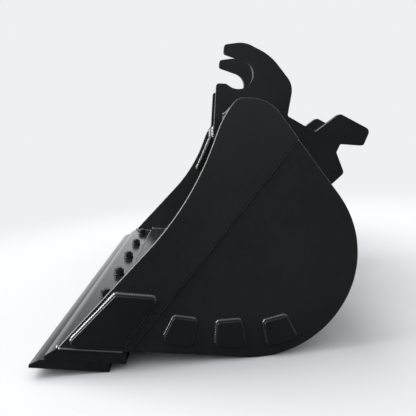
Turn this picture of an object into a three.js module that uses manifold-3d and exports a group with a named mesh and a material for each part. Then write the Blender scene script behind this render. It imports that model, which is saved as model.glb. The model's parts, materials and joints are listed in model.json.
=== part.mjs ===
// Wide ditching bucket for an excavator: a welded shell with two quick-coupler hinge plates
// and a cutting edge bolted under its lip.
//
// Everything is drawn in the bucket's own section: x runs aft from the tip of the cutting edge,
// z runs up from the underside of that edge, and y runs across, positive on the left for someone
// facing the mouth. At the end the whole bucket is tipped back so that it stands on the ground
// as it does when it is set down: on the rear corner of the cutting edge and on its heel.
// Millimetres throughout.

import * as THREE from 'three';
import { mergeVertices } from 'three/addons/utils/BufferGeometryUtils.js';
import Module from 'manifold-3d';

const wasm = await Module();
wasm.setup();

// ---------------------------------------------------------------- driving dimensions

const bucketWidth = 1200; // over the outer faces of the mouth plates
const bucketHeight = 483.4; // crown above the underside of the shell's floor
const jointGap = 0.3; // left between two pieces that are welded or bolted face to face
const chordError = 0.08; // how far a flat facet may stand off its arc

const cuttingEdge = { length: 150, thickness: 16, noseHeight: 6, bevelLength: 20 };
const baseEdge = { setback: 28, length: 152, thickness: 22, noseHeight: 8, bevelLength: 22 };

const sideSetback = 51; // tip of the cutting edge to the foot of the side's front edge
const mouthKnee = { aft: 233, up: 280.4, radius: 580 }; // measured from the foot of the side
const shoulder = { beforeCrown: 25, belowCrown: 37, bend: 30.41 }; // bend: from corner to tangent
const crown = { aft: 308, flat: 59, frontRadius: 25, rearRadius: 67 };
const back = { aft: 577, up: 228.4, radius: 183 };
const heel = { aft: 481, radius: 206 };

const mouthPlateThickness = 16;
const sidePlateThickness = 10;
const seam = { bottomAft: 133, slope: 54.7 }; // joint between mouth plate and side plate, degrees

const shellThickness = 10;
const shellSetIn = 5; // how far the side plates stand past the shell's outer face
const floorLapStart = 120; // front end of the floor, lying on the base edge
const crownReturn = 3; // how far the shell runs forward of its corner over the crown

const topTube = { diameter: 76.1, wall: 6.3 };

const hinge = { gap: 232, thickness: 25 };
const hookSeat = { radius: 42, aftOfCrownFront: 37, aboveCrown: 110 };
const crossPlate = { thickness: 16, height: 70, fromCrown: 178 };

const gusset = { thickness: 12, length: 160, reach: 80, toe: 18, setback: 33, drop: 3, slope: 69.5 };

const wearPlateThickness = 10;
const heelPadThickness = 10;
const plateCorner = 6; // rounding of the corners of the wear plates and heel pads

const bolt = { diameter: 16, row: 85, count: 6, endMargin: 100 };
const boltHoleClearance = 1; // round the shank and the countersunk head
const boltEnd = 4; // thread standing out of the nut
const boltHeadRecess = 1; // head sunk into the underside of the cutting edge
const washerThickness = 3;

// ---------------------------------------------------------------- heights that follow

const baseEdgeBottom = cuttingEdge.thickness + jointGap;
const baseEdgeTop = baseEdgeBottom + baseEdge.thickness;
const floorBottom = baseEdgeTop + jointGap;
const crownTop = floorBottom + bucketHeight;
const sideInnerFace = bucketWidth / 2 - mouthPlateThickness;
const crownFront = sideSetback + crown.aft;
const tubeRadius = topTube.diameter / 2;

// Countersunk bolt, washer and nut in their usual proportions to the thread.
const boltRadius = bolt.diameter / 2;
const headRadius = 0.95 * bolt.diameter;
const headHeight = 0.6 * bolt.diameter;
const nutAcrossFlats = 1.5 * bolt.diameter;
const nutHeight = 0.8 * bolt.diameter;

// ---------------------------------------------------------------- outlines

const degrees = THREE.MathUtils.degToRad;

function point(x, z, radius = 0) {
  const corner = new THREE.Vector2(x, z);
  corner.radius = radius;
  return corner;
}

function along(angle, length = 1) {
  return new THREE.Vector2(Math.cos(angle), Math.sin(angle)).multiplyScalar(length);
}

function arcSteps(radius, sweep) {
  const step = 2 * Math.acos(1 - Math.min(chordError / radius, 0.2));
  return Math.max(2, Math.ceil(Math.abs(sweep) / step));
}

// Points on an arc, both ends included.
function arc(centre, radius, from, to) {
  const steps = arcSteps(radius, to - from);
  return Array.from({ length: steps + 1 }, (_, i) => {
    return along(from + ((to - from) * i) / steps, radius).add(centre);
  });
}

// The rounded stretch that replaces one corner of a path.
function fillet(before, corner, after) {
  if (!corner.radius) return [corner.clone()];
  const backward = before.clone().sub(corner).normalize();
  const forward = after.clone().sub(corner).normalize();
  const halfAngle = Math.acos(THREE.MathUtils.clamp(backward.dot(forward), -1, 1)) / 2;
  const middle = backward.clone().add(forward).normalize();
  const centre = middle.multiplyScalar(corner.radius / Math.sin(halfAngle)).add(corner);
  const tangent = corner.radius / Math.tan(halfAngle);
  const start = backward.multiplyScalar(tangent).add(corner).sub(centre).angle();
  const end = forward.multiplyScalar(tangent).add(corner).sub(centre).angle();
  let sweep = end - start;
  if (sweep > Math.PI) sweep -= 2 * Math.PI;
  if (sweep < -Math.PI) sweep += 2 * Math.PI;
  return arc(centre, corner.radius, start, start + sweep);
}

function roundedLoop(corners) {
  const count = corners.length;
  return corners.flatMap((corner, i) => {
    return fillet(corners[(i + count - 1) % count], corner, corners[(i + 1) % count]);
  });
}

function roundedPath(corners) {
  return corners.flatMap((corner, i) => {
    if (i === 0 || i === corners.length - 1) return [corner.clone()];
    return fillet(corners[i - 1], corner, corners[i + 1]);
  });
}

function crossing(a, directionA, b, directionB) {
  const reach = b.clone().sub(a).cross(directionB) / directionA.cross(directionB);
  return directionA.clone().multiplyScalar(reach).add(a);
}

// Moves each edge of an anticlockwise loop inwards; insets[i] belongs to the edge after corner i.
function insetCorners(corners, insets) {
  const count = corners.length;
  const edges = corners.map((corner, i) => {
    const direction = corners[(i + 1) % count].clone().sub(corner).normalize();
    const inward = new THREE.Vector2(-direction.y, direction.x).multiplyScalar(insets[i]);
    return { from: corner.clone().add(inward), direction };
  });
  return corners.map((corner, i) => {
    const previous = edges[(i + count - 1) % count];
    const next = edges[i];
    const moved = crossing(previous.from, previous.direction, next.from, next.direction);
    const convex = previous.direction.cross(next.direction) > 0;
    const inset = Math.max(insets[i], insets[(i + count - 1) % count]);
    const radius = corner.radius && corner.radius + (convex ? -inset : inset);
    return point(moved.x, moved.y, radius);
  });
}

// The part of a loop on the left of a line.
function leftOf(loop, origin, direction) {
  const side = (p) => direction.cross(p.clone().sub(origin));
  return loop.flatMap((here, i) => {
    const next = loop[(i + 1) % loop.length];
    const kept = side(here) >= 0 ? [here.clone()] : [];
    if (side(here) >= 0 === side(next) >= 0) return kept;
    const share = side(here) / (side(here) - side(next));
    return [...kept, here.clone().lerp(next, share)];
  });
}

// ---------------------------------------------------------------- solids

// A plate standing in the section plane, from one y to another.
function plate(outline, yLow, yHigh) {
  const shape = new THREE.Shape(outline);
  const geometry = new THREE.ExtrudeGeometry(shape, { depth: yHigh - yLow, bevelEnabled: false });
  geometry.rotateX(Math.PI / 2);
  geometry.translate(0, yHigh, 0);
  return geometry;
}

// A plate that lies flat against one side of the bucket; side is +1 on the left, -1 on the right.
function sidePiece(outline, innerY, thickness, side) {
  const outerY = innerY + thickness;
  return side > 0 ? plate(outline, innerY, outerY) : plate(outline, -outerY, -innerY);
}

// A turned piece standing on z, from a profile of (radius, height) pairs.
function turned(profile, segments = 24) {
  const closed = profile.map(([radius, height]) => new THREE.Vector2(radius, height));
  return new THREE.LatheGeometry(closed, segments).rotateX(Math.PI / 2);
}

function solid(geometry) {
  const bare = geometry.clone();
  bare.deleteAttribute('normal');
  bare.deleteAttribute('uv');
  const merged = mergeVertices(bare, 1e-4);
  return new wasm.Manifold(new wasm.Mesh({
    numProp: 3,
    vertProperties: new Float32Array(merged.attributes.position.array),
    triVerts: new Uint32Array(merged.index.array),
  }));
}

function cut(geometry, ...tools) {
  const rest = tools.reduce((body, tool) => body.subtract(solid(tool)), solid(geometry));
  const mesh = rest.getMesh();
  const result = new THREE.BufferGeometry();
  result.setAttribute('position', new THREE.BufferAttribute(mesh.vertProperties, 3));
  result.setIndex(new THREE.BufferAttribute(mesh.triVerts, 1));
  return result;
}

// ---------------------------------------------------------------- finish

const paint = { color: 0x26282b, roughness: 0.42, metalness: 0.0 };
const wornSteel = { color: 0x303134, roughness: 0.5, metalness: 0.35 };
const zinc = { color: 0x3a3c3f, roughness: 0.45, metalness: 0.6 };

const bucket = new THREE.Group();

function add(name, geometry, finish) {
  const mesh = new THREE.Mesh(geometry, new THREE.MeshStandardMaterial(finish));
  mesh.name = name;
  bucket.add(mesh);
  return mesh;
}

const sides = [['left', 1], ['right', -1]];

// ---------------------------------------------------------------- section of the shell

// The radius of a bend that starts at a given distance from its corner.
function bendRadius(before, corner, after, distance) {
  const turn = corner.clone().sub(before).angleTo(after.clone().sub(corner));
  return distance / Math.tan(turn / 2);
}

const knee = point(
  sideSetback + mouthKnee.aft, floorBottom + mouthKnee.up, mouthKnee.radius);
const crownCorner = point(crownFront, crownTop, crown.frontRadius);
const shoulderCorner = point(
  crownCorner.x - shoulder.beforeCrown, crownCorner.y - shoulder.belowCrown);
shoulderCorner.radius = bendRadius(knee, shoulderCorner, crownCorner, shoulder.bend);

// Anticlockwise from the foot of the side's front edge.
const sideCorners = [
  point(sideSetback, floorBottom),
  point(sideSetback + heel.aft, floorBottom, heel.radius),
  point(sideSetback + back.aft, floorBottom + back.up, back.radius),
  point(crownFront + crown.flat, crownTop, crown.rearRadius),
  crownCorner,
  shoulderCorner,
  knee,
];
const sideOutline = roundedLoop(sideCorners);

// The shell follows the side, set in from it everywhere but along the floor.
function shellCorners(depth) {
  const inset = shellSetIn + depth;
  return insetCorners(sideCorners, [depth, inset, inset, inset, inset, inset, inset]);
}

function shellPath(depth) {
  const [, heelCorner, backCorner, topCorner] = shellCorners(depth);
  return roundedPath([
    point(floorLapStart, heelCorner.y),
    heelCorner,
    backCorner,
    topCorner,
    point(crownFront + crownReturn, topCorner.y),
  ]);
}

const shellWidth = 2 * (sideInnerFace - jointGap);
const shellOutline = [...shellPath(0), ...shellPath(shellThickness).reverse()];
add('shell_plate', plate(shellOutline, -shellWidth / 2, shellWidth / 2), paint);

// The foot of the heel's arc, where the floor ends.
const heelFoot = fillet(sideCorners[0], sideCorners[1], sideCorners[2])[0].x;

// ---------------------------------------------------------------- sides

const seamFoot = point(sideSetback + seam.bottomAft, floorBottom);
const seamDirection = along(degrees(seam.slope));
const seamGap = new THREE.Vector2(seamDirection.y, -seamDirection.x).multiplyScalar(jointGap);
const mouthOutline = leftOf(sideOutline, seamFoot, seamDirection);
const rearOutline = leftOf(sideOutline, seamFoot.clone().add(seamGap), seamDirection.clone().negate());

for (const [name, side] of sides) {
  add(`${name}_mouth_plate`, sidePiece(mouthOutline, sideInnerFace, mouthPlateThickness, side), paint);
  add(`${name}_side_plate`, sidePiece(rearOutline, sideInnerFace, sidePlateThickness, side), paint);
}

// ---------------------------------------------------------------- tube under the crown

// The tube lies in the middle of the bend that carries the shell over the crown.
const [, , innerBack, innerCrown, innerFront] = shellCorners(shellThickness);
const bend = fillet(innerBack, innerCrown, innerFront);
const bendOutward = innerCrown.clone().sub(bend[0].clone().add(bend.at(-1)).divideScalar(2)).normalize();
const bendCentre = new THREE.Vector2(bend.at(-1).x, innerCrown.y - innerCrown.radius);
const tubeCentre = bendCentre.addScaledVector(
  bendOutward, innerCrown.radius - tubeRadius - jointGap - chordError);

function tubeProfile(outer, inner, length) {
  return [[inner, 0], [outer, 0], [outer, length], [inner, length], [inner, 0]];
}

function acrossTheCrown(geometry, length) {
  return geometry.rotateX(Math.PI / 2).translate(tubeCentre.x, length / 2, tubeCentre.y);
}

const tubeSegments = 2 * arcSteps(tubeRadius, Math.PI);
const tubeGeometry = turned(
  tubeProfile(tubeRadius, tubeRadius - topTube.wall, shellWidth), tubeSegments);
add('top_tube', acrossTheCrown(tubeGeometry, shellWidth), paint);

function tubeClearance() {
  const radius = tubeRadius + jointGap;
  const length = bucketWidth;
  return acrossTheCrown(turned([[0, 0], [radius, 0], [radius, length], [0, length]], 72), length);
}

// ---------------------------------------------------------------- corner gussets

// A tapered plate across each upper corner of the mouth, from the tube down the side plate.
const gussetDown = along(degrees(gusset.slope)).negate();
const gussetTop = tubeCentre.clone().sub(new THREE.Vector2(gusset.setback, gusset.drop));

function gussetPlate(side) {
  const outer = sideInnerFace - jointGap;
  const taper = new THREE.Shape([
    point(0, side * outer),
    point(0, side * (outer - gusset.reach)),
    point(gusset.length - gusset.toe, side * (outer - gusset.toe)),
    point(gusset.length, side * (outer - gusset.toe)),
    point(gusset.length, side * outer),
  ]);
  const geometry = new THREE.ExtrudeGeometry(taper, { depth: gusset.thickness, bevelEnabled: false });
  const down = new THREE.Vector3(gussetDown.x, 0, gussetDown.y);
  const across = new THREE.Vector3(0, 1, 0);
  const turn = new THREE.Matrix4().makeBasis(down, across, down.clone().cross(across));
  geometry.translate(0, 0, -gusset.thickness / 2).applyMatrix4(turn);
  geometry.translate(gussetTop.x, 0, gussetTop.y);
  return cut(geometry, tubeClearance());
}

for (const [name, side] of sides) {
  add(`${name}_corner_gusset`, gussetPlate(side), paint);
}

// ---------------------------------------------------------------- hinge plates

const seat = new THREE.Vector2(
  crownFront + hookSeat.aftOfCrownFront, crownTop + hookSeat.aboveCrown);

// A corner of the hinge plate, given from the centre of the hook's seat.
const hingePoint = (aft, up, radius = 0) => point(seat.x + aft, seat.y + up, radius);

const jawAngle = degrees(73.7); // where the seat runs into the underside of the hook
const lipAngle = degrees(-120); // where it runs into the lower lip
const jawDirection = along(jawAngle + Math.PI / 2);
const hookTip = along(jawAngle, hookSeat.radius).addScaledVector(jawDirection, 60);

const hingeOutline = [
  ...roundedPath([
    hingePoint(-61, -172),
    hingePoint(-61, -29, 8),
    hingePoint(-33, -29, 8),
    along(lipAngle, hookSeat.radius).add(seat),
  ]),
  ...arc(seat, hookSeat.radius, lipAngle, jawAngle).slice(1),
  ...roundedPath([
    along(jawAngle, hookSeat.radius).add(seat),
    hingePoint(hookTip.x, hookTip.y, 9),
    hingePoint(hookTip.x + 1, hookTip.y + 24, 9),
    hingePoint(12, 92, 70),
    hingePoint(88, 58, 150),
    hingePoint(156, -22, 60),
    hingePoint(145, -110, 6),
    hingePoint(226, -151, 10),
    hingePoint(292, -95, 13),
    hingePoint(380, -136, 14),
    hingePoint(363, -182, 9),
    hingePoint(298, -181, 6),
    hingePoint(288, -205, 8),
    hingePoint(313, -262, 12),
    point(sideSetback + back.aft - 36, floorBottom + back.up - 15), // inside the shell's back
    hingePoint(60, -172),
  ]).slice(1),
];

// What the foot of a hinge plate has to clear: the shell, and all that lies inside it.
function shellClearance() {
  const outside = shellPath(-jointGap);
  const last = outside.at(-1);
  last.x -= jointGap;
  const closed = [...outside, point(last.x, innerCrown.y - jointGap), tubeCentre];
  return plate(closed, -bucketWidth / 2, bucketWidth / 2);
}

function hingePlate(side) {
  const blank = sidePiece(hingeOutline, hinge.gap / 2, hinge.thickness, side);
  return cut(blank, shellClearance(), tubeClearance());
}

for (const [name, side] of sides) {
  add(`${name}_hinge_plate`, hingePlate(side), paint);
}

// A cross plate stands on the back of the shell between the two hinge plates.
const shellBack = shellCorners(0);
const backDirection = shellBack[2].clone().sub(shellBack[3]).normalize();
const backNormal = new THREE.Vector2(-backDirection.y, backDirection.x);
const crossFoot = shellBack[3].clone().addScaledVector(backDirection, crossPlate.fromCrown)
  .addScaledVector(backNormal, jointGap);
const crossOutline = [
  crossFoot,
  crossFoot.clone().addScaledVector(backDirection, crossPlate.thickness),
  crossFoot.clone().addScaledVector(backDirection, crossPlate.thickness)
    .addScaledVector(backNormal, crossPlate.height),
  crossFoot.clone().addScaledVector(backNormal, crossPlate.height),
];
const crossWidth = hinge.gap - 2 * jointGap;
add('hinge_cross_plate', plate(crossOutline, -crossWidth / 2, crossWidth / 2), paint);

// ---------------------------------------------------------------- wear plates on the sides

// A parallelogram over the lower corner of each mouth plate.
const wearCorners = [
  point(sideSetback + 20, floorBottom + 11, plateCorner),
  point(sideSetback + 124, floorBottom + 13, plateCorner),
  point(sideSetback + 180, floorBottom + 105, plateCorner),
  point(sideSetback + 103, floorBottom + 106, plateCorner),
];

// Three pads fanned round the heel of each side plate, given from the foot of the heel's arc.
const heelPads = [
  [[-142, 22], [-97, 17], [-90, 67], [-131, 70], [-147, 34]],
  [[-51, 20], [2, 23], [2, 33], [-8, 71], [-51, 65]],
  [[47, 26], [98, 45], [75, 84], [35, 71]],
];

for (const [name, side] of sides) {
  const wearFace = bucketWidth / 2 + jointGap;
  add(`${name}_side_wear_plate`,
    sidePiece(roundedLoop(wearCorners), wearFace, wearPlateThickness, side), paint);
  const padFace = sideInnerFace + sidePlateThickness + jointGap;
  heelPads.forEach((corners, i) => {
    const outline = corners.map(([aft, up]) => point(heelFoot + aft, floorBottom + up, plateCorner));
    add(`${name}_heel_pad_${i + 1}`,
      sidePiece(roundedLoop(outline), padFace, heelPadThickness, side), paint);
  });
}

// ---------------------------------------------------------------- bolted cutting edge

function edgeOutline(front, bottom, edge) {
  return [
    point(front, bottom),
    point(front + edge.length, bottom),
    point(front + edge.length, bottom + edge.thickness),
    point(front + edge.bevelLength, bottom + edge.thickness),
    point(front, bottom + edge.noseHeight),
  ];
}

const washerBottom = baseEdgeTop + jointGap;
const nutBottom = washerBottom + washerThickness + jointGap;
const boltTop = nutBottom + nutHeight + boltEnd;
const boltPitch = (bucketWidth - 2 * bolt.endMargin) / (bolt.count - 1);
const boltPlaces = Array.from({ length: bolt.count }, (_, i) => {
  return (i - (bolt.count - 1) / 2) * boltPitch;
});

// The bolt's own profile, or the hole for it when it is grown by a clearance.
function boltProfile(clearance, bottom, top) {
  return [
    [0, bottom],
    [headRadius + clearance, bottom],
    [headRadius + clearance, boltHeadRecess + 2],
    [boltRadius + clearance, boltHeadRecess + headHeight],
    [boltRadius + clearance, top],
    [0, top],
  ];
}

const boltHoles = boltPlaces.map((y) => {
  return turned(boltProfile(boltHoleClearance, -1, boltTop)).translate(bolt.row, y, 0);
});
const half = bucketWidth / 2;
add('cutting_edge', cut(plate(edgeOutline(0, 0, cuttingEdge), -half, half), ...boltHoles), wornSteel);
add('base_edge',
  cut(plate(edgeOutline(baseEdge.setback, baseEdgeBottom, baseEdge), -half, half), ...boltHoles), paint);

function washerGeometry() {
  const bore = boltRadius + boltHoleClearance;
  return turned(tubeProfile(bolt.diameter, bore, washerThickness));
}

function nutGeometry() {
  const corner = nutAcrossFlats / 2 / Math.cos(Math.PI / 6);
  const hexagon = Array.from({ length: 6 }, (_, i) => along((i * Math.PI) / 3, corner));
  const shape = new THREE.Shape(hexagon);
  shape.holes.push(new THREE.Path().absarc(0, 0, boltRadius + jointGap, 0, 2 * Math.PI, true));
  return new THREE.ExtrudeGeometry(shape,
    { depth: nutHeight, bevelEnabled: false, curveSegments: 12 });
}

boltPlaces.forEach((y, i) => {
  const place = (mesh, height) => mesh.position.set(bolt.row, y, height);
  place(add(`edge_bolt_${i + 1}`, turned(boltProfile(0, boltHeadRecess, boltTop)), zinc), 0);
  place(add(`edge_washer_${i + 1}`, washerGeometry(), zinc), washerBottom);
  place(add(`edge_nut_${i + 1}`, nutGeometry(), zinc), nutBottom);
});

// ---------------------------------------------------------------- set down on the ground

// The ground touches the rear corner of the cutting edge and is tangent to the heel's arc.
const edgeToHeel = point(heelFoot - cuttingEdge.length, floorBottom + heel.radius);
bucket.rotation.y = edgeToHeel.angle() - Math.asin(heel.radius / edgeToHeel.length());

// The origin is on the ground, under the middle of the bucket.
const bounds = new THREE.Box3().setFromObject(bucket, true);
const middle = bounds.getCenter(new THREE.Vector3());
bucket.position.set(-middle.x, 0, -bounds.min.z);

export default bucket;
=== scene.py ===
"""Finishes a wide ditching bucket: rounded plates, weld beads, nuts and bolts, black paint, studio."""

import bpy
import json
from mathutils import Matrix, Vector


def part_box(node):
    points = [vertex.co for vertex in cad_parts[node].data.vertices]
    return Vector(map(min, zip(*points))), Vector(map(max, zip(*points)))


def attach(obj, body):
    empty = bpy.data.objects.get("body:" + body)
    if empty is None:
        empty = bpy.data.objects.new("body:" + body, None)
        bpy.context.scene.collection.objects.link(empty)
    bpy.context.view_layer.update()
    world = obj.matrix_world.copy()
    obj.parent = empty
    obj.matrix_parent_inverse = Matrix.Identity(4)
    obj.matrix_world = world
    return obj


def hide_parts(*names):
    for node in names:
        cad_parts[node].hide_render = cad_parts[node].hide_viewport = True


bl_info = {
    "name": "Ditching bucket",
    "version": (1, 0, 0),
    "blender": (4, 5, 0),
    "location": "3D View > Sidebar > Bucket",
    "description": "Plates, welds, fasteners and paint of a wide ditching bucket",
    "category": "Object",
}

import json
import math

import bmesh
import bpy
from bpy.props import FloatProperty, FloatVectorProperty, IntProperty, PointerProperty
from mathutils import Matrix, Vector, noise
from mathutils.bvhtree import BVHTree

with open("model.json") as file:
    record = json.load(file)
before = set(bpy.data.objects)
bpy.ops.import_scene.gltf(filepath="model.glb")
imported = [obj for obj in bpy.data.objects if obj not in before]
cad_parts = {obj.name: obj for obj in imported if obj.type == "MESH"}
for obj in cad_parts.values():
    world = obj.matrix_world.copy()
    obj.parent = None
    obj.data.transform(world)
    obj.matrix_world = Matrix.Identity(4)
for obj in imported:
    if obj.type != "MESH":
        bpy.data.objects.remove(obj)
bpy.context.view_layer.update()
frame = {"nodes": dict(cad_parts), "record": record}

MM = 0.001
SIDES = {"left": 1, "right": -1}
SLOTS = {row["node"]: row["material_slot"] for row in frame["record"]["subparts"]}

SAME_POINT = 0.4 * MM  # vertices nearer than this are one corner of a plate
FLAT = math.radians(0.4)  # faces closer than this lie in one plane
SHARP = math.radians(35)  # edges sharper than this are cut edges
TOUCHING = 1.2 * MM  # pieces nearer than this are welded or bolted together
SHORT_RUN = 100 * MM  # stretches of a plate's outline shorter than this carry no bead
BEAD_FACETS = 8  # round a weld bead
WANDER_SCALE = 45  # how quickly a bead's width wanders along it

KEY_PLACE = Vector((-2.2, 1.2, 4.0))
KEY_TARGET = Vector((0, 0, 0.2))
SOFTBOX_PLACE = Vector((-7.0, -0.4, 3.2))
SOFTBOX_TARGET = Vector((0, 0, 0.35))
SENSOR_WIDTH = 36

# ---------------------------------------------------------------- places on the bucket


class Section:
    """The bucket's own section: aft from the tip of the cutting edge, across, and up from its underside."""

    def __init__(self, node):
        mesh = frame["nodes"][node].data
        self.up = max(mesh.polygons, key=lambda face: face.area).normal.copy()
        if self.up.z < 0:
            self.up.negate()
        self.across = Vector((0, 1, 0))
        self.aft = self.across.cross(self.up).normalized()
        tip = min(v.co.dot(self.aft) for v in mesh.vertices)
        underside = min(v.co.dot(self.up) for v in mesh.vertices)
        turn = Matrix((self.aft, self.across, self.up)).transposed().to_4x4()
        self.matrix = Matrix.Translation(self.aft * tip + self.up * underside) @ turn
        self.inverse = self.matrix.inverted()

    def place(self, aft, across, up):
        return self.matrix @ Vector((aft, across, up))

    def read(self, point):
        return self.inverse @ point

    def reach(self, node):
        """Lowest and highest aft, across and up of a CAD node."""
        places = [self.inverse @ v.co for v in frame["nodes"][node].data.vertices]
        low = Vector(min(p[i] for p in places) for i in range(3))
        high = Vector(max(p[i] for p in places) for i in range(3))
        return low, high


section = Section("cutting_edge")


def merged_copy(node):
    """A CAD node's solid with one vertex per corner and one face per plane."""
    bm = bmesh.new()
    bm.from_mesh(frame["nodes"][node].data)
    bmesh.ops.remove_doubles(bm, verts=bm.verts, dist=SAME_POINT)
    bmesh.ops.dissolve_limit(bm, angle_limit=FLAT, verts=bm.verts, edges=bm.edges)
    return bm


def outline(node, facing):
    """The corners, in order, of a node's largest flat face that looks one way."""
    bm = merged_copy(node)
    faces = [face for face in bm.faces if face.normal.dot(facing) > 0.99]
    corners = [v.co.copy() for v in max(faces, key=lambda face: face.calc_area()).verts]
    bm.free()
    return corners


def surface(node):
    bm = merged_copy(node)
    tree = BVHTree.FromBMesh(bm)
    bm.free()
    return tree


def stretch_against(corners, *nodes):
    """The longest run of a closed outline that lies against other nodes."""
    trees = [surface(node) for node in nodes]
    near = [min(t.find_nearest(p)[3] for t in trees) < TOUCHING for p in corners]
    start = next(i for i in range(len(near)) if near[i] and not near[i - 1])
    run, best = [], []
    for i in range(len(near)):
        j = (start + i) % len(near)
        run = run + [corners[j]] if near[j] else []
        best = max(best, run, key=len)
    return best


def longest_edge(corners):
    pairs = zip(corners, corners[1:] + corners[:1])
    return max(pairs, key=lambda pair: (pair[1] - pair[0]).length)


def bends(corners, angle):
    """Where a closed outline turns by more than an angle, as places in the list."""
    found = []
    for i, here in enumerate(corners):
        before, after = corners[i - 1], corners[(i + 1) % len(corners)]
        if (here - before).angle(after - here) > angle:
            found.append(i)
    return found


def runs_between(corners, places):
    """Cuts a closed outline at some of its corners."""
    count = len(corners)
    pieces = []
    for i, start in enumerate(places):
        end = places[(i + 1) % len(places)]
        length = (end - start) % count
        pieces.append([corners[(start + k) % count] for k in range(length + 1)])
    return pieces


def path_length(path):
    return sum((b - a).length for a, b in zip(path, path[1:]))


# ---------------------------------------------------------------- sizes and colours


class PlateSettings(bpy.types.PropertyGroup):
    edge_round: FloatProperty(
        name="Edge round",
        description="Rounding along the cut edges of the plates",
        default=1.5 * MM,
        min=0.0,
        unit="LENGTH",
    )
    small_round: FloatProperty(
        name="Small round",
        description="Rounding along the edges of washers, nuts and bolts",
        default=0.8 * MM,
        min=0.0,
        unit="LENGTH",
    )
    segments: IntProperty(
        name="Segments",
        description="Facets across each rounding",
        default=2,
        min=1,
    )


class WeldSettings(bpy.types.PropertyGroup):
    heavy: FloatProperty(
        name="Heavy bead",
        description="Radius of the beads that join the main plates",
        default=6 * MM,
        unit="LENGTH",
    )
    medium: FloatProperty(
        name="Medium bead",
        description="Radius of the beads round wear plates, along the seams and inside the shell",
        default=4.6 * MM,
        unit="LENGTH",
    )
    light: FloatProperty(
        name="Light bead",
        description="Radius of the beads round the heel pads and along flush joints",
        default=3.4 * MM,
        unit="LENGTH",
    )
    gusset: FloatProperty(
        name="Gusset bead",
        description="Radius of the broad beads down the corner gussets",
        unit="LENGTH",
        default=8.5 * MM,
    )
    ripple: FloatProperty(
        name="Ripple pitch",
        description="Distance from one ripple of a bead to the next",
        default=4.5 * MM,
        unit="LENGTH",
    )
    ripple_depth: FloatProperty(
        name="Ripple depth",
        description="Depth of the ripples as a share of the bead's radius",
        default=0.16,
        subtype="FACTOR",
    )
    wander: FloatProperty(
        name="Wander",
        description="How unevenly a hand-laid bead is wide, as a share of its radius",
        default=0.22,
        subtype="FACTOR",
    )


class ThreadSettings(bpy.types.PropertyGroup):
    pitch: FloatProperty(
        name="Thread pitch",
        description="Pitch of the bolts' thread",
        default=2.0 * MM,
        unit="LENGTH",
    )
    depth: FloatProperty(
        name="Thread depth",
        description="Depth of the bolts' thread",
        default=1.3 * MM,
        unit="LENGTH",
    )
    steps: IntProperty(
        name="Steps",
        description="Facets round a bolt",
        default=28,
        min=8,
    )


class PaintSettings(bpy.types.PropertyGroup):
    black: FloatVectorProperty(
        name="Black",
        description="Paint of the side plates, shell and hinge plates",
        subtype="COLOR",
        default=(0.0105, 0.0112, 0.0125),
        min=0.0,
        max=1.0,
    )
    wear_black: FloatVectorProperty(
        name="Wear plate black",
        description="Paint of the wear plates and heel pads",
        subtype="COLOR",
        default=(0.0090, 0.0095, 0.0105),
        min=0.0,
        max=1.0,
    )
    edge_black: FloatVectorProperty(
        name="Edge black",
        description="Paint of the cutting edge and of the edge it is bolted to",
        subtype="COLOR",
        default=(0.0095, 0.0100, 0.0112),
        min=0.0,
        max=1.0,
    )
    bolt_black: FloatVectorProperty(
        name="Bolt black",
        description="Paint of the nuts, washers and bolts",
        subtype="COLOR",
        default=(0.0085, 0.0090, 0.0100),
        min=0.0,
        max=1.0,
    )
    # Lighter than the plates' black: a painted highlight that makes the beads read brighter, on top of
    # their real specular highlight.
    weld_black_painted_highlight: FloatVectorProperty(
        name="Weld black with painted highlight",
        description="Paint over the weld beads",
        subtype="COLOR",
        default=(0.016, 0.017, 0.019),
        min=0.0,
        max=1.0,
    )
    dust: FloatVectorProperty(
        name="Dust",
        description="Fine dust on faces that look up",
        subtype="COLOR",
        default=(0.10, 0.10, 0.10),
        min=0.0,
        max=1.0,
    )
    peel: FloatProperty(
        name="Orange peel",
        description="Height of the fine waves in the paint",
        default=0.05 * MM,
        unit="LENGTH",
    )


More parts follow.
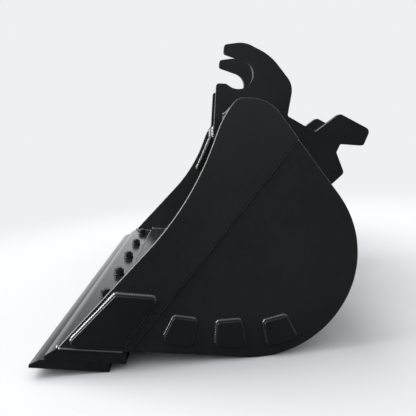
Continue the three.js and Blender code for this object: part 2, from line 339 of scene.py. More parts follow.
class StageSettings(bpy.types.PropertyGroup):
    camera_place: FloatVectorProperty(
        name="Camera place",
        description="Camera from the ground under the middle of the bucket",
        subtype="XYZ",
        unit="LENGTH",
        default=(-0.07247, -1.4760, 0.41039),
    )
    camera_roll: FloatProperty(
        name="Camera roll",
        description="Turn of the camera about its own line of sight",
        subtype="ANGLE",
        default=math.radians(5.234),
    )
    lens: FloatProperty(
        name="Lens",
        description="Focal length of the camera",
        unit="CAMERA",
        default=40.98,
    )
    shift_right: FloatProperty(
        name="Shift right",
        description="Sideways shift of the camera's frame, as a share of its width",
        default=0.0308,
    )
    shift_up: FloatProperty(
        name="Shift up",
        description="Upward shift of the camera's frame, as a share of its width",
        default=-0.1594,
    )
    backdrop: FloatVectorProperty(
        name="Backdrop",
        description="Pale colour behind the bucket",
        subtype="COLOR",
        default=(0.863, 0.871, 0.887),
        min=0.0,
        max=1.0,
    )
    floor: FloatVectorProperty(
        name="Floor",
        description="Pale colour of the floor as the camera sees it",
        subtype="COLOR",
        default=(0.76, 0.767, 0.781),
        min=0.0,
        max=1.0,
    )
    floor_bounce: FloatVectorProperty(
        name="Floor bounce",
        description="Darker colour of the floor in the bucket's reflections",
        subtype="COLOR",
        default=(0.10, 0.10, 0.103),
        min=0.0,
        max=1.0,
    )
    floor_size: FloatProperty(
        name="Floor size",
        description="Half the width of the floor",
        unit="LENGTH",
        default=40.0,
    )
    floor_near: FloatProperty(
        name="Floor fade start",
        description="Distance at which the floor begins to fade into the backdrop",
        unit="LENGTH",
        default=0.75,
    )
    floor_far: FloatProperty(
        name="Floor fade end",
        description="Distance at which the floor has become the backdrop",
        unit="LENGTH",
        default=2.0,
    )
    key: FloatProperty(
        name="Key light",
        description="Strength of the soft light from the mouth's side",
        default=2.1,
    )
    key_spread: FloatProperty(
        name="Key spread",
        description="Apparent size of the key light, which softens the shadows",
        subtype="ANGLE",
        default=math.radians(60),
    )
    glow: FloatProperty(
        name="Backdrop glow",
        description="Light that comes from the bright backdrop behind the bucket",
        default=1.3,
    )
    overhead: FloatProperty(
        name="Overhead light",
        description="Light that comes from the wide ceiling of the studio",
        default=1.15,
    )
    gloom: FloatProperty(
        name="Room light",
        description="Light that comes from the dark half of the room",
        default=0.09,
    )
    softbox_size: FloatVectorProperty(
        name="Softbox size",
        description="Width and height of the softbox in front of the mouth",
        size=2,
        unit="LENGTH",
        default=(8.0, 7.0),
    )
    softbox_power: FloatProperty(
        name="Softbox",
        description="Power of the softbox, which only draws the highlights",
        unit="POWER",
        default=2600.0,
    )


SETTINGS = {
    "bucket_plates": PlateSettings,
    "bucket_welds": WeldSettings,
    "bucket_threads": ThreadSettings,
    "bucket_paint": PaintSettings,
    "bucket_stage": StageSettings,
}

# ---------------------------------------------------------------- node groups


def add_node(tree, kind, settings=None, **inputs):
    """A shader node with its properties set and its inputs given as values or linked sockets."""
    made = tree.nodes.new(kind)
    for key, value in (settings or {}).items():
        setattr(made, key, value)
    for key, value in inputs.items():
        socket = made.inputs[int(key[1:])] if key[0] == "_" else made.inputs[key.replace("_", " ")]
        if isinstance(value, bpy.types.NodeSocket):
            tree.links.new(value, socket)
        else:
            socket.default_value = value
    return made


def new_group(name, inputs, outputs):
    """An empty node group with named sockets, and its input and output nodes."""
    tree = bpy.data.node_groups.new(name, "ShaderNodeTree")
    for label, kind, value in inputs:
        socket = tree.interface.new_socket(label, in_out="INPUT", socket_type=kind)
        if value is not None:
            socket.default_value = value
    for label, kind in outputs:
        tree.interface.new_socket(label, in_out="OUTPUT", socket_type=kind)
    entry = tree.nodes.new("NodeGroupInput")
    leave = tree.nodes.new("NodeGroupOutput")
    return tree, entry.outputs, leave.inputs


def group_once(name, build):
    return bpy.data.node_groups.get(name) or build(name)


def mottle_group(name):
    """Slow, cloudy changes of shade, as sprayed paint has over a large plate."""
    tree, given, out = new_group(
        name,
        [
            ("Vector", "NodeSocketVector", None),
            ("Base", "NodeSocketColor", (0.01, 0.01, 0.01, 1)),
            ("Size", "NodeSocketFloat", 6.0),
            ("Amount", "NodeSocketFloat", 0.25),
        ],
        [("Color", "NodeSocketColor"), ("Mask", "NodeSocketFloat")],
    )
    clouds = add_node(
        tree, "ShaderNodeTexNoise", Vector=given["Vector"], Scale=given["Size"], Detail=4.0,
        Roughness=0.55)
    shade = add_node(
        tree, "ShaderNodeMapRange", Value=clouds.outputs["Fac"], From_Min=0.3, From_Max=0.7,
        To_Min=-1.0, To_Max=1.0)
    swing = add_node(
        tree, "ShaderNodeMath", {"operation": "MULTIPLY"}, _0=shade.outputs["Result"],
        _1=given["Amount"])
    gain = add_node(tree, "ShaderNodeMath", {"operation": "ADD"}, _0=swing.outputs[0], _1=1.0)
    tint = add_node(
        tree, "ShaderNodeVectorMath", {"operation": "SCALE"}, _0=given["Base"],
        Scale=gain.outputs[0])
    tree.links.new(tint.outputs[0], out["Color"])
    tree.links.new(clouds.outputs["Fac"], out["Mask"])
    return tree


def peel_group(name):
    """Height of the paint: fine orange peel over long, faint waves in the plate."""
    tree, given, out = new_group(
        name,
        [
            ("Vector", "NodeSocketVector", None),
            ("Peel", "NodeSocketFloat", 420.0),
            ("Waves", "NodeSocketFloat", 5.0),
            ("Wave Height", "NodeSocketFloat", 4.0),
        ],
        [("Height", "NodeSocketFloat")],
    )
    peel = add_node(
        tree, "ShaderNodeTexNoise", Vector=given["Vector"], Scale=given["Peel"], Detail=2.0)
    waves = add_node(
        tree, "ShaderNodeTexNoise", Vector=given["Vector"], Scale=given["Waves"], Detail=1.0)
    tall = add_node(
        tree, "ShaderNodeMath", {"operation": "MULTIPLY"}, _0=waves.outputs["Fac"],
        _1=given["Wave Height"])
    total = add_node(
        tree, "ShaderNodeMath", {"operation": "ADD"}, _0=peel.outputs["Fac"],
        _1=tall.outputs[0])
    tree.links.new(total.outputs[0], out["Height"])
    return tree


def dust_group(name):
    """Where fine dust settles: broken patches on faces that look up."""
    tree, given, out = new_group(
        name,
        [
            ("Vector", "NodeSocketVector", None),
            ("Amount", "NodeSocketFloat", 0.3),
            ("Patches", "NodeSocketFloat", 30.0),
        ],
        [("Mask", "NodeSocketFloat")],
    )
    facing = add_node(tree, "ShaderNodeNewGeometry")
    parts = add_node(tree, "ShaderNodeSeparateXYZ", Vector=facing.outputs["Normal"])
    flat = add_node(
        tree, "ShaderNodeMapRange", Value=parts.outputs["Z"], From_Min=0.55, From_Max=1.0)
    grit = add_node(
        tree, "ShaderNodeTexNoise", Vector=given["Vector"], Scale=given["Patches"], Detail=6.0,
        Roughness=0.7)
    spots = add_node(
        tree, "ShaderNodeMapRange", Value=grit.outputs["Fac"], From_Min=0.45, From_Max=0.75)
    both = add_node(
        tree, "ShaderNodeMath", {"operation": "MULTIPLY"}, _0=flat.outputs["Result"],
        _1=spots.outputs["Result"])
    mask = add_node(
        tree, "ShaderNodeMath", {"operation": "MULTIPLY"}, _0=both.outputs[0],
        _1=given["Amount"])
    tree.links.new(mask.outputs[0], out["Mask"])
    return tree


def rubbed_group(name):
    """Where edges are rubbed: convex places, broken up by noise."""
    tree, given, out = new_group(
        name,
        [
            ("Vector", "NodeSocketVector", None),
            ("Amount", "NodeSocketFloat", 0.5),
            ("Grain", "NodeSocketFloat", 90.0),
        ],
        [("Mask", "NodeSocketFloat")],
    )
    shape = add_node(tree, "ShaderNodeNewGeometry")
    ridge = add_node(
        tree, "ShaderNodeMapRange", Value=shape.outputs["Pointiness"], From_Min=0.53,
        From_Max=0.62)
    grit = add_node(
        tree, "ShaderNodeTexNoise", Vector=given["Vector"], Scale=given["Grain"], Detail=5.0)
    spots = add_node(
        tree, "ShaderNodeMapRange", Value=grit.outputs["Fac"], From_Min=0.35, From_Max=0.65)
    both = add_node(
        tree, "ShaderNodeMath", {"operation": "MULTIPLY"}, _0=ridge.outputs["Result"],
        _1=spots.outputs["Result"])
    mask = add_node(
        tree, "ShaderNodeMath", {"operation": "MULTIPLY"}, _0=both.outputs[0],
        _1=given["Amount"])
    tree.links.new(mask.outputs[0], out["Mask"])
    return tree


def place_group(tree, name, build, **inputs):
    made = tree.nodes.new("ShaderNodeGroup")
    made.node_tree = group_once(name, build)
    for key, value in inputs.items():
        socket = made.inputs[key.replace("_", " ")]
        if isinstance(value, bpy.types.NodeSocket):
            tree.links.new(value, socket)
        else:
            socket.default_value = value
    return made


# ---------------------------------------------------------------- paint


def black_paint(name, color, gloss, specular=0.3, mottle=0.22, dust=0.25, rubbed=0.5, waves=4.0):
    """Semi-gloss black paint; gloss is the lowest and highest roughness over the surface."""
    found = bpy.data.materials.get(name)
    if found:
        return found
    paint = bpy.context.scene.bucket_paint
    material = bpy.data.materials.new(name)
    material.use_nodes = True
    tree = material.node_tree
    tree.nodes.clear()
    where = add_node(tree, "ShaderNodeTexCoord").outputs["Object"]
    clouds = place_group(
        tree, "Paint mottle", mottle_group, Vector=where, Base=(*color, 1), Amount=mottle)
    worn = place_group(tree, "Rubbed edges", rubbed_group, Vector=where, Amount=rubbed)
    dusty = place_group(tree, "Dust", dust_group, Vector=where, Amount=dust)
    height = place_group(tree, "Orange peel", peel_group, Vector=where, Wave_Height=waves)
    grey = tuple(min(1.0, 3.2 * c) for c in color)
    rubbed_color = add_node(
        tree, "ShaderNodeMix", {"data_type": "RGBA"}, _0=worn.outputs["Mask"],
        _6=clouds.outputs["Color"], _7=(*grey, 1))
    dusted = add_node(
        tree, "ShaderNodeMix", {"data_type": "RGBA"}, _0=dusty.outputs["Mask"],
        _6=rubbed_color.outputs[2], _7=(*paint.dust, 1))
    rough = add_node(
        tree, "ShaderNodeMapRange", Value=clouds.outputs["Mask"], From_Min=0.3, From_Max=0.7,
        To_Min=gloss[0], To_Max=gloss[1])
    bump = add_node(
        tree, "ShaderNodeBump", Distance=paint.peel, Height=height.outputs["Height"])
    shader = add_node(
        tree, "ShaderNodeBsdfPrincipled", Base_Color=dusted.outputs[2],
        Roughness=rough.outputs["Result"], Normal=bump.outputs["Normal"])
    shader.inputs["Specular IOR Level"].default_value = specular
    out = add_node(tree, "ShaderNodeOutputMaterial")
    tree.links.new(shader.outputs[0], out.inputs["Surface"])
    return material


def paint_for(slot):
    paint = bpy.context.scene.bucket_paint
    if slot == "side_paint":
        return black_paint("Side paint", paint.black, (0.32, 0.40), specular=0.5)
    if slot == "shell_paint":
        return black_paint("Body paint", paint.black, (0.20, 0.30), specular=0.4)
    if slot == "hinge_paint":
        return black_paint("Hinge paint", paint.black, (0.34, 0.46))
    if slot == "wear_paint":
        return black_paint("Wear plate paint", paint.wear_black, (0.34, 0.46))
    if slot == "edge_paint":
        return black_paint("Edge paint", paint.edge_black, (0.14, 0.22), specular=0.5, dust=0.2)
    return black_paint("Bolt paint", paint.bolt_black, (0.28, 0.42), dust=0.3)


def weld_paint():
    paint = bpy.context.scene.bucket_paint
    # The beads' black is lighter than the plates' black: a painted highlight on the welds.
    return black_paint(
        "Weld paint with painted highlight", paint.weld_black_painted_highlight, (0.20, 0.32), specular=1.0, rubbed=0.9, waves=0.5)


# ---------------------------------------------------------------- finishing a piece


def finish_piece(name, bm, material, replaced=(), weighted=True):
    """Makes a piece from its bmesh, smooth shaded, painted and carried by the bucket."""
    mesh = bpy.data.meshes.new(name)
    for face in bm.faces:
        face.smooth = True
    bm.to_mesh(mesh)
    bm.free()
    mesh.materials.append(material)
    piece = bpy.data.objects.new(name, mesh)
    bpy.context.scene.collection.objects.link(piece)
    if weighted:
        flats = piece.modifiers.new("Flat faces", "WEIGHTED_NORMAL")
        flats.weight = 90
    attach(piece, "root")
    if replaced:
        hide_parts(*replaced)
    return piece


def rounded_node(node, radius, segments):
    """A node's solid with every cut edge rounded."""
    bm = merged_copy(node)
    cut_edges = [e for e in bm.edges if e.is_manifold and e.calc_face_angle() > SHARP]
    bmesh.ops.bevel(
        bm, geom=cut_edges, offset=radius, offset_type="OFFSET", segments=segments,
        profile=0.5, affect="EDGES", material=-1, clamp_overlap=True)
    return bm


def finish_nodes(nodes, radius=None):
    """Puts a rounded, painted piece in place of each CAD node."""
    plates = bpy.context.scene.bucket_plates
    for node in nodes:
        bm = rounded_node(node, radius or plates.edge_round, plates.segments)
        slot = SLOTS[node]
        finish_piece(f"Finished_{node}", bm, paint_for(slot), [node])


# ---------------------------------------------------------------- weld beads


def stations(path, closed, step):
    """Evenly spaced points along a path, each with its direction."""
    line = path + path[:1] if closed else path
    total = path_length(line)
    count = max(6, round(total / step))
    points = []
    walked, leg = 0.0, 0
    for i in range(count + 1):
        target = total * i / count
        while leg < len(line) - 2 and walked + (line[leg + 1] - line[leg]).length < target:
            walked += (line[leg + 1] - line[leg]).length
            leg += 1
        span = line[leg + 1] - line[leg]
        points.append(line[leg] + span * min(1.0, (target - walked) / max(span.length, 1e-9)))
    directions = []
    for i in range(count + 1):
        before = points[i - 1] if i else (points[-2] if closed else points[0])
        after = points[i + 1] if i < count else (points[1] if closed else points[-1])
        directions.append((after - before).normalized())
    return points, directions, total


def lay_bead(bm, path, radius, closed=False, seed=0.0):
    """Lays a hand-made weld bead along a path: a round bar with ripples, uneven in width."""
    welds = bpy.context.scene.bucket_welds
    points, directions, total = stations(path, closed, welds.ripple / 4)
    rows = len(points) - 1
    made = bmesh.ops.create_grid(bm, x_segments=rows, y_segments=BEAD_FACETS, size=1.0)["verts"]
    for vert in made:
        i = round((vert.co.x + 1) / 2 * rows)
        turn = round((vert.co.y + 1) / 2 * BEAD_FACETS) % BEAD_FACETS * math.tau / BEAD_FACETS
        centre, forward = points[i], directions[i]
        side = forward.orthogonal() if abs(forward.y) > 0.9 else forward.cross(Vector((0, 1, 0)))
        side.normalize()
        up = forward.cross(side)
        walked = total * i / rows
        wave = 0.5 + 0.5 * math.cos(math.tau * walked / welds.ripple)
        slow = noise.noise(centre * WANDER_SCALE + Vector((seed, seed * 0.7, 0)))
        size = radius * (1 - welds.ripple_depth * (1 - wave) + welds.wander * slow)
        if not closed:
            end = min(walked, total - walked) / radius
            size *= math.sqrt(max(0.0, 1 - max(0.0, 1 - end) ** 2))
        spoke = side * math.cos(turn) + up * math.sin(turn)
        vert.co = centre + spoke * size
    return made


def welded(name, beads):
    """One piece made of weld beads; each is a path, a radius and whether it closes on itself."""
    bm = bmesh.new()
    for i, (path, radius, closed) in enumerate(beads):
        lay_bead(bm, path, radius, closed, seed=3.1 * i)
    bmesh.ops.remove_doubles(bm, verts=bm.verts, dist=0.02 * MM)
    bmesh.ops.dissolve_degenerate(bm, edges=bm.edges, dist=0.01 * MM)
    bmesh.ops.recalc_face_normals(bm, faces=bm.faces)
    return finish_piece(name, bm, weld_paint(), weighted=False)


# ---------------------------------------------------------------- operators


class BUCKET_OT_shell(bpy.types.Operator):
    """Rounds and paints the rolled shell and the tube under its crown"""

    bl_idname = "bucket.shell"
    bl_label = "Shell and tube"

    def execute(self, context):
        finish_nodes(["shell_plate", "top_tube", "left_corner_gusset", "right_corner_gusset"])
        return {"FINISHED"}


class BUCKET_OT_sides(bpy.types.Operator):
    """Rounds and paints the side plates and the thicker plates along the mouth"""

    bl_idname = "bucket.sides"
    bl_label = "Sides"

    def execute(self, context):
        finish_nodes([f"{s}_{kind}_plate" for s in SIDES for kind in ("side", "mouth")])
        return {"FINISHED"}


class BUCKET_OT_hinge(bpy.types.Operator):
    """Rounds and paints the two hooked hinge plates and the plate between them"""

    bl_idname = "bucket.hinge"
    bl_label = "Hinge plates"

    def execute(self, context):
        finish_nodes(["left_hinge_plate", "right_hinge_plate", "hinge_cross_plate"])
        return {"FINISHED"}


class BUCKET_OT_wear_plates(bpy.types.Operator):
    """Rounds and paints the side wear plates and the heel pads"""

    bl_idname = "bucket.wear_plates"
    bl_label = "Wear plates and pads"

    def execute(self, context):
        pads = [f"{s}_heel_pad_{i}" for s in SIDES for i in (1, 2, 3)]
        finish_nodes([f"{s}_side_wear_plate" for s in SIDES] + pads)
        return {"FINISHED"}


class BUCKET_OT_edges(bpy.types.Operator):
    """Rounds and paints the cutting edge and the edge it is bolted to"""

    bl_idname = "bucket.edges"
    bl_label = "Edges"

    def execute(self, context):
        finish_nodes(["cutting_edge", "base_edge"])
        return {"FINISHED"}


def numbered(prefix):
    """The CAD nodes of one kind of fastener."""
    return sorted(name for name in frame["nodes"] if name.startswith(prefix))


class BUCKET_OT_fasteners(bpy.types.Operator):
    """Makes the nuts, the washers and the threaded ends of the bolts"""

    bl_idname = "bucket.fasteners"
    bl_label = "Fasteners"

    def execute(self, context):
        plates = context.scene.bucket_plates
        finish_nodes(numbered("edge_nut_"), radius=1.4 * plates.edge_round)
        finish_nodes(numbered("edge_washer_"), radius=plates.small_round)
        finish_nodes(numbered("edge_bolt_"), radius=plates.small_round)
        for nut, bolt in zip(numbered("edge_nut_"), numbered("edge_bolt_")):
            self.thread(context, nut, bolt)
        return {"FINISHED"}

    def thread(self, context, nut, bolt):
        """Ridges of the thread round the end that stands out of the nut."""
        threads = context.scene.bucket_threads
        nut_low, nut_high = section.reach(nut)
        bolt_high = section.reach(bolt)[1]
        middle = (nut_low + nut_high) / 2
        count = round((bolt_high.z - nut_high.z) / threads.pitch)
        places = [section.read(v.co) for v in frame["nodes"][bolt].data.vertices]
        radius = max(abs(p.y - middle.y) for p in places if p.z > bolt_high.z - 1 * MM)
        bm = bmesh.new()
        for i in range(count):
            foot = nut_high.z + i * threads.pitch
            ring = bmesh.ops.create_circle(bm, cap_ends=False, radius=threads.depth / 2, segments=6)
            turn = Matrix.Rotation(math.pi / 2, 4, "X")
            out = Matrix.Translation((radius, 0, foot + threads.pitch / 2))
            bmesh.ops.transform(bm, matrix=out @ turn, verts=ring["verts"])
            edges = list(dict.fromkeys(e for v in ring["verts"] for e in v.link_edges))
            bmesh.ops.spin(
                bm, geom=ring["verts"] + edges, cent=(0, 0, 0), axis=(0, 0, 1),
                angle=math.tau, steps=threads.steps, use_merge=True)
        bmesh.ops.remove_doubles(bm, verts=bm.verts, dist=0.01 * MM)
        bmesh.ops.recalc_face_normals(bm, faces=bm.faces)
        bmesh.ops.transform(
            bm, matrix=section.matrix @ Matrix.Translation((middle.x, middle.y, 0)), verts=bm.verts)
        number = nut.rsplit("_", 1)[1]
        slot = SLOTS[bolt]
        finish_piece(f"Bolt_thread_{number}", bm, paint_for(slot), weighted=False)


class BUCKET_OT_side_welds(bpy.types.Operator):
    """Lays the beads along the seams of the sides and where the sides meet the shell and edge"""

    bl_idname = "bucket.side_welds"
    bl_label = "Side welds"

    def execute(self, context):
        welds = context.scene.bucket_welds
        floor = section.reach("shell_plate")[0].z
        for name, side in SIDES.items():
            out = Vector((0, side, 0))
            seam = list(longest_edge(outline(f"{name}_side_plate", out)))
            beads = [(seam, welds.medium, False)]
            shell = outline("shell_plate", out)
            for run in runs_between(shell, bends(shell, math.radians(60))):
                if path_length(run) < SHORT_RUN:
                    continue
                low = min(run, key=lambda p: section.read(p).z)
                if section.read(low).z < floor + 1 * MM:
                    clear = floor + 4 * welds.heavy
                    run = [p for p in run if section.read(p).z > clear]
                beads.append((run, welds.medium, False))
            welded(f"Side_welds_{name}", beads)
            welded(f"Foot_welds_{name}", self.foot(welds, name, side))
        return {"FINISHED"}

    def foot(self, welds, name, side):
        """Where the mouth plate stands on the base edge, inside and outside."""
        low, high = section.reach(f"{name}_mouth_plate")
        edge_high = section.reach("base_edge")[1]
        shell_low = section.reach("shell_plate")[0]
        inner = min(abs(low.y), abs(high.y)) * side
        outer = max(abs(low.y), abs(high.y)) * side
        foot = edge_high.z
        inside = [
            section.place(low.x + 4 * MM, inner, foot),
            section.place(shell_low.x, inner, foot),
        ]
        outside = [
            section.place(low.x + 2 * MM, outer, foot),
            section.place(edge_high.x - 6 * MM, outer, foot),
        ]
        toe = [
            section.place(low.x, outer - side * 1 * MM, foot),
            section.place(low.x, inner + side * 1 * MM, foot),
        ]
        return [
            (inside, welds.medium, False),
            (outside, welds.light, False),
            (toe, welds.medium, False),
        ]


class BUCKET_OT_shell_welds(bpy.types.Operator):
    """Lays the beads along both ends of the shell, round the tube's ends and along the gussets"""

    bl_idname = "bucket.shell_welds"
    bl_label = "Shell welds"

    def execute(self, context):
        welds = context.scene.bucket_welds
        shell_low, shell_high = section.reach("shell_plate")
        edge_high = section.reach("base_edge")[1]
        tube_low, tube_high = section.reach("top_tube")
        half = shell_high.y - 2 * MM
        lap = [
            section.place(shell_low.x - 1 * MM, y, edge_high.z + 3 * MM) for y in (-half, half)
        ]
        rear = [section.place(edge_high.x + 1 * MM, y, edge_high.z - 3 * MM) for y in (-half, half)]
        radius = (tube_high.z - tube_low.z) / 2
        centre = (tube_low + tube_high) / 2
        front = min(
            (section.read(p) for p in outline("shell_plate", Vector((0, 1, 0)))),
            key=lambda p: (p.z < centre.z, p.x))
        rise = math.sqrt(max(0.0, radius**2 - (front.x - centre.x) ** 2))
        tube_top = centre.z + rise
        crown = [section.place(front.x - 1 * MM, y, shell_high.z - 4 * MM) for y in (-half, half)]
        under = [
            section.place(front.x + 3 * MM, y, (tube_top + shell_high.z) / 2 - 2 * MM)
            for y in (-half, half)
        ]
        beads = [
            (lap, welds.heavy, False),
            (rear, welds.medium, False),
            (crown, welds.medium, False),
            (under, 1.6 * welds.heavy, False),
        ]
        for side in SIDES.values():
            ring = []
            for i in range(32):
                angle = math.tau * i / 32
                ring.append(section.place(
                    centre.x + radius * math.cos(angle), side * half, centre.z + radius * math.sin(angle)))
            beads.append((ring, welds.gusset, True))
        welded("Plate_end_welds", beads)
        for name, side in SIDES.items():
            self.gusset(welds, name, side)
        return {"FINISHED"}

    def gusset(self, welds, name, side):
        """A bead down each face of a corner gusset, against the side."""
        bm = merged_copy(f"{name}_corner_gusset")
        wide = sorted(bm.faces, key=lambda face: face.calc_area())[-2:]
        beads = []
        for face in wide:
            reach = max(v.co.y * side for v in face.verts)
            line = [v.co.copy() for v in face.verts if v.co.y * side > reach - 1 * MM]
            line.sort(key=lambda p: -section.read(p).z)
            beads.append(([line[0], line[-1]], welds.gusset, False))
        bm.free()
        welded(f"Gusset_welds_{name}", beads)


class BUCKET_OT_hinge_welds(bpy.types.Operator):
    """Lays the beads round the feet of the hinge plates and of the plate between them"""

    bl_idname = "bucket.hinge_welds"
    bl_label = "Hinge welds"

    def execute(self, context):
        welds = context.scene.bucket_welds
        for name in SIDES:
            node = f"{name}_hinge_plate"
            outer = stretch_against(outline(node, Vector((0, 1, 0))), "shell_plate", "top_tube")
            inner = stretch_against(outline(node, Vector((0, -1, 0))), "shell_plate", "top_tube")
            beads = [(outer + inner, welds.heavy, True), self.toe(node)]
            welded(f"Hinge_welds_{name}", beads)
        beads = []
        bm = merged_copy("hinge_cross_plate")
        shell = surface("shell_plate")
        foot = [v.co.copy() for v in bm.verts if shell.find_nearest(v.co)[3] < TOUCHING]
        left = sorted((p for p in foot if p.y > 0), key=lambda p: section.read(p).z)
        right = sorted((p for p in foot if p.y < 0), key=lambda p: section.read(p).z)
        for a, b in zip(left, right):
            beads.append(([a, b], welds.heavy, False))
        tops = [v.co.copy() for v in bm.verts if shell.find_nearest(v.co)[3] >= TOUCHING]
        for group, feet in ((left, left), (right, right)):
            y = group[0].y
            ends = sorted((p for p in tops if abs(p.y - y) < 1 * MM), key=lambda p: section.read(p).z)
            for a, b in zip(feet, ends):
                beads.append(([a, b], welds.medium, False))
        bm.free()
        welded("Cross_plate_welds", beads)
        return {"FINISHED"}

    def toe(self, node):
        """A thick lump round the front toe of a hinge plate, down on to the tube."""
        low, high = section.reach(node)
        middle = (low.y + high.y) / 2
        tube_low, tube_high = section.reach("top_tube")
        centre = (tube_low + tube_high) / 2
        top = section.place(low.x + 1 * MM, middle, centre.z + 16 * MM)
        foot = section.place(low.x + 5 * MM, middle, centre.z - 20 * MM)
        return [top, foot], (high.y - low.y) / 2, False


class BUCKET_OT_wear_welds(bpy.types.Operator):
    """Lays the beads round the wear plates and heel pads"""

    bl_idname = "bucket.wear_welds"
    bl_label = "Wear plate welds"

    def execute(self, context):
        welds = context.scene.bucket_welds
        for name, side in SIDES.items():
            out = Vector((0, side, 0))
            plate = f"{name}_side_wear_plate"
            beads = [(self.foot(plate, out, welds.medium), 1.1 * welds.medium, True)]
            for i in (1, 2, 3):
                beads.append((self.foot(f"{name}_heel_pad_{i}", out, welds.light), welds.light, True))
            welded(f"Wear_plate_welds_{name}", beads)
        return {"FINISHED"}

    def foot(self, node, out, radius):
        """The outline of a plate's foot, against the side."""
        corners = outline(node, out)
        low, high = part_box(node)
        foot = min(abs(low.y), abs(high.y)) * out.y
        middle = sum(corners, Vector()) / len(corners)
        return [Vector((p.x, foot, p.z)) + (p - middle).normalized() * 0.15 * radius for p in corners]


class BUCKET_OT_stage(bpy.types.Operator):
    """Lays the floor, lights the bucket and sets the camera"""

    bl_idname = "bucket.stage"
    bl_label = "Stage"

    def execute(self, context):
        stage = context.scene.bucket_stage
        context.scene.view_settings.view_transform = "Standard"
        self.floor(stage)
        self.world(context, stage)
        self.lights(context, stage)
        self.camera(context, stage)
        return {"FINISHED"}

    def floor(self, stage):
        bm = bmesh.new()
        bmesh.ops.create_grid(bm, x_segments=1, y_segments=1, size=stage.floor_size)
        mesh = bpy.data.meshes.new("Floor")
        bm.to_mesh(mesh)
        bm.free()
        material = bpy.data.materials.new("Pale floor")
        material.use_nodes = True
        tree = material.node_tree
        tree.nodes.clear()
        where = add_node(tree, "ShaderNodeTexCoord").outputs["Object"]
        soft = add_node(tree, "ShaderNodeTexNoise", Vector=where, Scale=0.6, Detail=2.0)
        tone = add_node(
            tree, "ShaderNodeMapRange", Value=soft.outputs["Fac"], To_Min=0.995, To_Max=1.005)
        ray = add_node(tree, "ShaderNodeLightPath")
        seen = add_node(
            tree, "ShaderNodeMix", {"data_type": "RGBA"}, _0=ray.outputs["Is Camera Ray"],
            _6=(*stage.floor_bounce, 1), _7=(*stage.floor, 1))
        color = add_node(
            tree, "ShaderNodeVectorMath", {"operation": "SCALE"}, _0=seen.outputs[2],
            Scale=tone.outputs["Result"])
        shader = add_node(tree, "ShaderNodeBsdfDiffuse", Color=color.outputs[0])
        away = add_node(tree, "ShaderNodeVectorMath", {"operation": "LENGTH"}, _0=where)
        far = add_node(
            tree, "ShaderNodeMapRange", {"interpolation_type": "SMOOTHSTEP"},
            Value=away.outputs["Value"], From_Min=stage.floor_near, From_Max=stage.floor_far)
        fade = add_node(
            tree, "ShaderNodeMath", {"operation": "MULTIPLY"}, _0=far.outputs["Result"],
            _1=ray.outputs["Is Camera Ray"])
        sky = add_node(tree, "ShaderNodeEmission", Color=(*stage.backdrop, 1))
        mixed = add_node(tree, "ShaderNodeMixShader", _0=fade.outputs[0])
        tree.links.new(shader.outputs[0], mixed.inputs[1])
        tree.links.new(sky.outputs[0], mixed.inputs[2])
        out = add_node(tree, "ShaderNodeOutputMaterial")
        tree.links.new(mixed.outputs[0], out.inputs["Surface"])
        mesh.materials.append(material)
        floor = bpy.data.objects.new("Floor", mesh)
        bpy.context.scene.collection.objects.link(floor)

    def world(self, context, stage):
        world = bpy.data.worlds.new("Studio")
        context.scene.world = world
        world.use_nodes = True
        tree = world.node_tree
        tree.nodes.clear()
        where = add_node(tree, "ShaderNodeTexCoord").outputs["Generated"]
        parts = add_node(tree, "ShaderNodeSeparateXYZ", Vector=where)
        behind = add_node(
            tree, "ShaderNodeMapRange", {"interpolation_type": "SMOOTHSTEP"},
            Value=parts.outputs["Y"], From_Min=-0.1, From_Max=0.7, To_Max=stage.glow)
        band = add_node(
            tree, "ShaderNodeMapRange", {"interpolation_type": "SMOOTHSTEP"},
            Value=parts.outputs["Z"], From_Min=0.12, From_Max=0.5, To_Min=1.0, To_Max=0.15)
        backdrop = add_node(
            tree, "ShaderNodeMath", {"operation": "MULTIPLY"}, _0=behind.outputs["Result"],
            _1=band.outputs["Result"])
        overhead = add_node(
            tree, "ShaderNodeMapRange", {"interpolation_type": "SMOOTHSTEP"},
            Value=parts.outputs["Z"], From_Min=-0.02, From_Max=0.4, To_Min=stage.gloom,
            To_Max=stage.overhead)
        front = add_node(
            tree, "ShaderNodeMapRange", {"interpolation_type": "SMOOTHSTEP"},
            Value=parts.outputs["Y"], From_Min=-0.2, From_Max=0.6, To_Min=1.0, To_Max=0.25)
        ceiling = add_node(
            tree, "ShaderNodeMath", {"operation": "MULTIPLY"}, _0=overhead.outputs["Result"],
            _1=front.outputs["Result"])
        total = add_node(
            tree, "ShaderNodeMath", {"operation": "ADD"}, _0=backdrop.outputs[0],
            _1=ceiling.outputs[0])
        ray = add_node(tree, "ShaderNodeLightPath")
        unseen = add_node(
            tree, "ShaderNodeBackground", Color=(*stage.backdrop, 1),
            Strength=total.outputs[0])
        seen = add_node(tree, "ShaderNodeBackground", Color=(*stage.backdrop, 1), Strength=1.0)
        mixed = add_node(tree, "ShaderNodeMixShader", _0=ray.outputs["Is Camera Ray"])
        tree.links.new(unseen.outputs[0], mixed.inputs[1])
        tree.links.new(seen.outputs[0], mixed.inputs[2])
        out = add_node(tree, "ShaderNodeOutputWorld")
        tree.links.new(mixed.outputs[0], out.inputs["Surface"])

    def lights(self, context, stage):
        key = bpy.data.lights.new("Key light", "SUN")
        key.energy = stage.key
        key.angle = stage.key_spread
        self.hang(context, key, KEY_PLACE, KEY_TARGET)
        softbox = bpy.data.lights.new("Softbox", "AREA")
        softbox.shape = "RECTANGLE"
        softbox.size, softbox.size_y = stage.softbox_size
        softbox.energy = stage.softbox_power
        lamp = self.hang(context, softbox, SOFTBOX_PLACE, SOFTBOX_TARGET)
        lamp.visible_diffuse = False

    def hang(self, context, light, place, target):
        lamp = bpy.data.objects.new(light.name, light)
        lamp.location = place
        lamp.rotation_euler = (place - target).to_track_quat("Z", "Y").to_euler()
        context.scene.collection.objects.link(lamp)
        return lamp

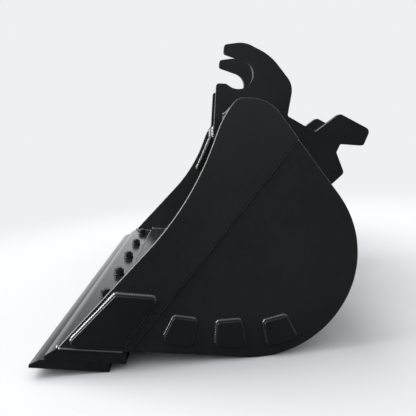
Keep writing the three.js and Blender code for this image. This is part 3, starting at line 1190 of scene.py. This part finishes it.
    def camera(self, context, stage):
        data = bpy.data.cameras.new("Camera")
        data.lens = stage.lens
        data.sensor_width = SENSOR_WIDTH
        data.shift_x = stage.shift_right
        data.shift_y = stage.shift_up
        data.clip_start, data.clip_end = 0.05, 4 * stage.floor_size
        camera = bpy.data.objects.new("Camera", data)
        roll = stage.camera_roll
        right = Vector((math.cos(roll), 0, -math.sin(roll)))
        up = Vector((math.sin(roll), 0, math.cos(roll)))
        turn = Matrix((right, up, right.cross(up))).transposed().to_4x4()
        camera.matrix_world = Matrix.Translation(stage.camera_place) @ turn
        context.scene.collection.objects.link(camera)
        context.scene.camera = camera


OPERATORS = (
    BUCKET_OT_shell,
    BUCKET_OT_sides,
    BUCKET_OT_hinge,
    BUCKET_OT_wear_plates,
    BUCKET_OT_edges,
    BUCKET_OT_fasteners,
    BUCKET_OT_side_welds,
    BUCKET_OT_shell_welds,
    BUCKET_OT_hinge_welds,
    BUCKET_OT_wear_welds,
    BUCKET_OT_stage,
)


class BUCKET_PT_panel(bpy.types.Panel):
    """Lists the bucket's settings and the steps that finish it"""

    bl_idname = "BUCKET_PT_panel"
    bl_label = "Ditching bucket"
    bl_space_type = "VIEW_3D"
    bl_region_type = "UI"
    bl_category = "Bucket"

    def draw(self, context):
        for operator in OPERATORS:
            self.layout.operator(operator.bl_idname, text=operator.bl_label)
        for name, group in SETTINGS.items():
            box = self.layout.box()
            for prop in group.__annotations__:
                box.prop(getattr(context.scene, name), prop)


def register():
    for group in SETTINGS.values():
        bpy.utils.register_class(group)
    for name, group in SETTINGS.items():
        setattr(bpy.types.Scene, name, PointerProperty(type=group))
    for operator in OPERATORS:
        bpy.utils.register_class(operator)
    bpy.utils.register_class(BUCKET_PT_panel)


def unregister():
    bpy.utils.unregister_class(BUCKET_PT_panel)
    for operator in reversed(OPERATORS):
        bpy.utils.unregister_class(operator)
    for name in SETTINGS:
        delattr(bpy.types.Scene, name)
    for group in reversed(list(SETTINGS.values())):
        bpy.utils.unregister_class(group)


def main():
    register()
    bpy.ops.bucket.shell()
    bpy.ops.bucket.sides()
    bpy.ops.bucket.hinge()
    bpy.ops.bucket.wear_plates()
    bpy.ops.bucket.edges()
    bpy.ops.bucket.fasteners()
    bpy.ops.bucket.side_welds()
    bpy.ops.bucket.shell_welds()
    bpy.ops.bucket.hinge_welds()
    bpy.ops.bucket.wear_welds()
    bpy.ops.bucket.stage()


if __name__ == "__main__":
    main()
